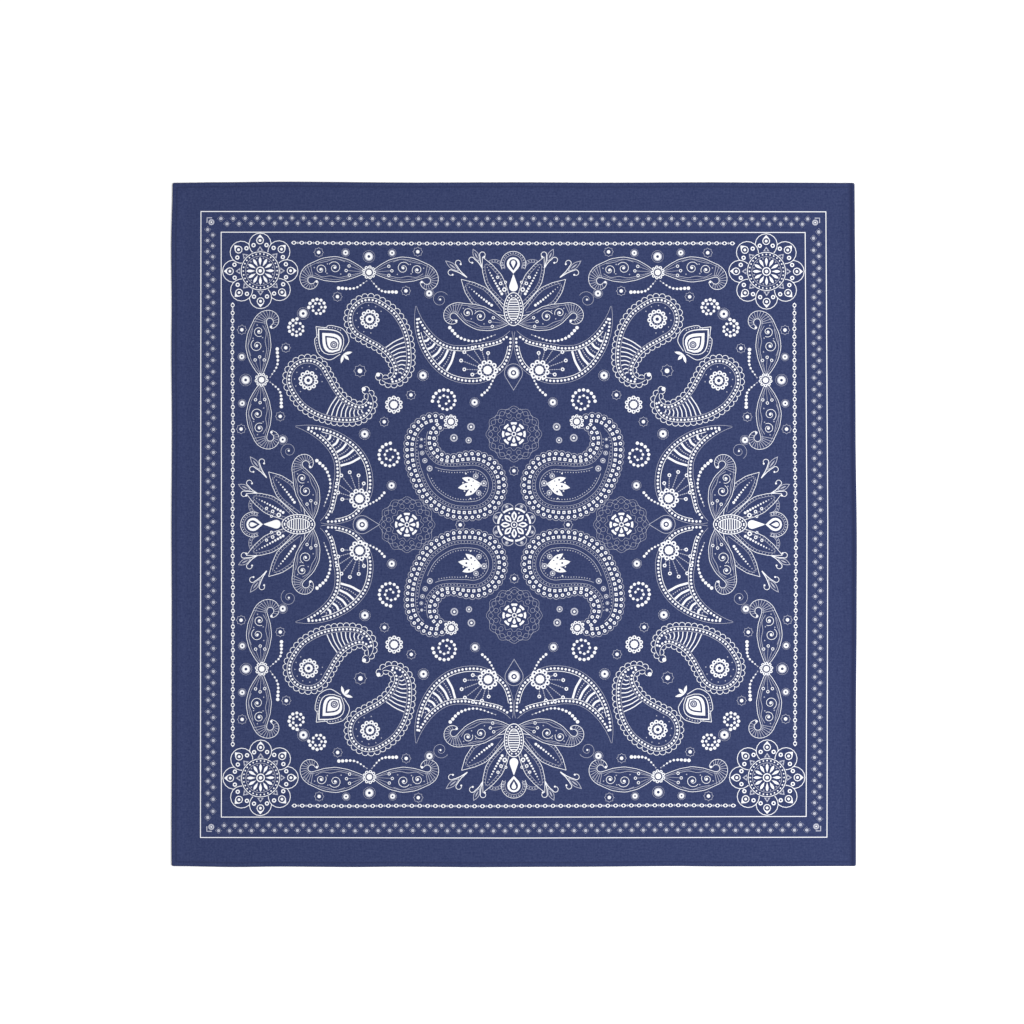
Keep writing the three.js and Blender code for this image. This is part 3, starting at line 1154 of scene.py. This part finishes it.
# and, round the fold, its share of the height of the whole hem there
FOLD_SECTION = [(0.28, 0.93), (0.08, 0.78), (0.0, 0.58), (0.0, 0.38), (0.08, 0.17), (0.28, 0.03),
                (0.6, 0.0), (0.75, 0.12)]
LOWER_INSETS = [0.8, 3.6, 5.8, 7.6, 9.6, 13]


class ClothMesh:
    """Gathers the points and faces of one body of cloth, with the flat place of each point"""

    def __init__(self):
        self.flats, self.heights, self.faces, self.looks = [], [], [], []
        self.count = 0

    def add(self, u, v, heights):
        first = self.count
        self.flats.append(np.stack([u, v], axis=-1))
        self.heights.append(heights)
        self.count += len(u)
        return np.arange(first, self.count)

    def band(self, loop, following, look):
        after, following_after = np.roll(loop, -1), np.roll(following, -1)
        self.faces.extend(np.stack([loop, following, following_after, after], axis=-1).tolist())
        self.looks.extend([look] * len(loop))

    def ring(self, loop, places, height, look):
        """The next ring of points outwards or inwards from the last, joined to it"""
        following = self.add(*places, height)
        self.band(loop, following, look)
        return following

    def tube(self, sections, along_x, height_at, backwards):
        """A closed tube along an edge. Each section has its place along the edge, and its places
        across the edge with their heights above height_at"""
        loops = []
        for station, across, heights in sections:
            along = np.full_like(across, station)
            u, v = (along, across) if along_x else (across, along)
            loops.append(self.add(u, v, height_at(u, v) + heights))
        if backwards:
            loops = loops[::-1]
        for loop, following in zip(loops, loops[1:]):
            self.band(loop, following, 0)
        self.faces += [loops[0][::-1].tolist(), loops[-1].tolist()]
        self.looks += [0, 0]

    def build(self, name, materials):
        flats = np.concatenate(self.flats)
        heights = np.concatenate(self.heights)
        mesh = bpy.data.meshes.new(name)
        mesh.from_pydata(placed(flats[:, 0], flats[:, 1], heights).tolist(), [], self.faces)
        for material in materials:
            mesh.materials.append(material)
        mesh.polygons.foreach_set("material_index", self.looks)
        mesh.polygons.foreach_set("use_smooth", [True] * len(mesh.polygons))
        self.unwrap(mesh, flats)
        return mesh

    def unwrap(self, mesh, flats):
        """The flat cloth as a map for its weave, and the same with each look in a tile of its own"""
        corners = np.empty(len(mesh.loops), dtype=np.int32)
        mesh.loops.foreach_get("vertex_index", corners)
        cloth = flats[corners] / CLOTH_SIDE + 0.5
        sizes = np.empty(len(mesh.polygons), dtype=np.int32)
        mesh.polygons.foreach_get("loop_total", sizes)
        look = np.repeat(np.array(self.looks), sizes)
        tile = np.stack([look % 2, look // 2], axis=-1)
        bake = (0.01 + cloth * 0.98 + tile) / 2
        for name, places in (("Cloth", cloth), ("OFBake", bake)):
            mesh.uv_layers.new(name=name).data.foreach_set("uv", places.astype(np.float32).ravel())


def link_piece(name, mesh):
    piece = linked(name, mesh)
    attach(piece, "root")
    return piece


def rim_loop():
    """The edge of the printed area, anticlockwise, at the sections that the quarters share"""
    half = rim_stations()
    along = np.concatenate([-half[:0:-1], half])[:-1]
    return np.concatenate([along - 1j * PRINT_EDGE, PRINT_EDGE + 1j * along,
                           -along + 1j * PRINT_EDGE, -PRINT_EDGE - 1j * along])


def nearest_index(points, wanted):
    """The index of the point at each wanted place"""
    keys = {tuple(k): i for i, k in enumerate(np.round(points * 50).astype(int).tolist())}
    return np.array([keys[tuple(k)] for k in np.round(wanted * 50).astype(int).tolist()])


def make_panel(drawing, materials):
    cloth = ClothMesh()
    points, faces, looks = mirrored_whole(*quadrant_faces(drawing))
    points = moved_on(points)
    u, v = points.T
    upper = cloth.add(u, v, upper_face(u, v))
    cloth.faces.extend(faces.tolist())
    cloth.looks.extend(looks.tolist())
    rim = rim_loop()
    loop = upper[nearest_index(points, np.stack([rim.real, rim.imag], axis=-1))]

    def ring_at(inset):
        ring = rim * (HALF - inset) / PRINT_EDGE
        return ring.real, ring.imag

    for inset in UPPER_INSETS:
        places = ring_at(inset)
        loop = cloth.ring(loop, places, upper_face(*places), BARE)
    flat_face = cloth.count
    for inset, share in FOLD_SECTION:
        places = ring_at(inset)
        low = rise(*places)
        loop = cloth.ring(loop, places, low + share * (upper_face(*places) - low), BARE)
    for inset in LOWER_INSETS:
        places = ring_at(inset)
        loop = cloth.ring(loop, places, underside(*places), REVERSE)
    # The middle of the underside has half as many sections as the rim
    along = np.linspace(-PRINT_EDGE + 4, PRINT_EDGE - 4, EDGE_STATIONS + 1)
    u, v = (grid.ravel() for grid in np.meshgrid(along, along))
    lower = cloth.add(u, v, underside(u, v)).reshape(len(along), len(along))
    corners = np.stack([lower[:-1, :-1], lower[1:, :-1], lower[1:, 1:], lower[:-1, 1:]], axis=-1)
    inner = np.concatenate([lower[0, :-1], lower[:-1, -1], lower[-1, :0:-1], lower[:0:-1, 0]])
    joining = np.stack([loop[0::2], inner, np.roll(inner, -1), np.roll(loop, -2)[0::2], loop[1::2]], axis=-1)
    cloth.faces.extend(corners.reshape(-1, 4).tolist() + joining.tolist())
    cloth.looks.extend([REVERSE] * (len(along) - 1) ** 2 + [REVERSE] * len(joining))
    mesh = cloth.build("panel_cloth", materials)
    normals = np.empty(len(mesh.vertices) * 3, dtype=np.float32)
    mesh.vertex_normals.foreach_get("vector", normals)
    normals = normals.reshape(-1, 3)
    flats = np.concatenate(cloth.flats)[:flat_face]
    normals[:flat_face] = upper_normals(flats[:, 0], flats[:, 1])
    mesh.normals_split_custom_set_from_vertices(normals.tolist())
    return link_piece("panel_cloth", mesh)


# Turned edges: how far in they start, and the room between two that meet at a corner
HEM_OUTER, HEM_GAP = 1.0, 0.3
HEM_STATIONS = 141
# The section of one: how far in from its start, and how high
HEM_SECTION = [(0.0, 0.25), (0.12, 0.07), (0.45, 0.0), (2.0, 0.0), (3.7, 0.0), (4.15, 0.04), (4.4, 0.18),
               (4.42, 0.3), (4.3, 0.37), (4.42, 0.44), (4.4, 0.57), (4.15, 0.68), (3.7, 0.7),
               (2.0, 0.7), (0.45, 0.7), (0.12, 0.64), (0.0, 0.5)]


def make_hem(name, along_x, side, material):
    """The turned-under layers of one edge: the groove in its inner side is where the two turns meet"""
    cloth = ClothMesh()
    insets, heights = np.array(HEM_SECTION).T
    across = side * (HALF - HEM_OUTER - insets)
    end = HALF - HEM_OUTER - (0 if along_x else insets.max() + HEM_GAP)
    sections = [(station, across, heights) for station in np.linspace(-end, end, HEM_STATIONS)]
    cloth.tube(sections, along_x, rise, backwards=along_x == (side > 0))
    return link_piece(name, cloth.build(name, [material]))


# Stitches
STITCH_LENGTH, STITCH_RADIUS = 2.1, 0.17
STITCH_SIDES = 6
STITCH_SHAPE = [(-0.5, 0.35), (-0.3, 0.9), (0.3, 0.9), (0.5, 0.35)]     # shares of length and radius


def stitch_row(cloth, along_x, side, height_at):
    """Short rounded threads in a row along one edge"""
    reach = HALF - STITCH_INSET
    count = int(2 * reach / STITCH_PITCH)
    sides = np.linspace(0, math.tau, STITCH_SIDES, endpoint=False)
    across, up = np.cos(sides) * STITCH_RADIUS, np.sin(sides) * STITCH_RADIUS
    for middle in (np.arange(count) - (count - 1) / 2) * STITCH_PITCH:
        sections = [(middle + along * STITCH_LENGTH, side * reach + across * width, up * width)
                    for along, width in STITCH_SHAPE]
        cloth.tube(sections, along_x, height_at, backwards=along_x)


def make_stitches(name, along_x, side, material):
    cloth = ClothMesh()
    stitch_row(cloth, along_x, side, upper_face)
    stitch_row(cloth, along_x, side, lambda u, v: rise(u, v) + STITCH_RADIUS)
    return link_piece(name, cloth.build(name, [material]))


# The whole
HEMS = [("top", True, 1), ("bottom", True, -1), ("left", False, -1), ("right", False, 1)]


def make_bandana():
    face = cotton("navy_cotton", NAVY_DARK, NAVY_LIGHT)
    reverse = cotton("navy_cotton_reverse", REVERSE_DARK, REVERSE_LIGHT)
    thread = sewing_thread("navy_thread")
    full_ink = ink("white_ink", INK_WHITE, INK_WORN)
    thin_ink = ink("thin_white_ink", THIN_INK_WHITE, THIN_INK_WORN)
    panel = make_panel(whole_print(), [face, full_ink, reverse, thin_ink])
    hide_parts("panel")
    on_panel = []
    for edge, along_x, side in HEMS:
        hem = make_hem(f"hem_{edge}_cloth", along_x, side, reverse)
        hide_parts(f"hem_{edge}")
        stitches = make_stitches(f"stitches_{edge}", along_x, side, thread)
        on_panel += [hem, stitches]


make_bandana()
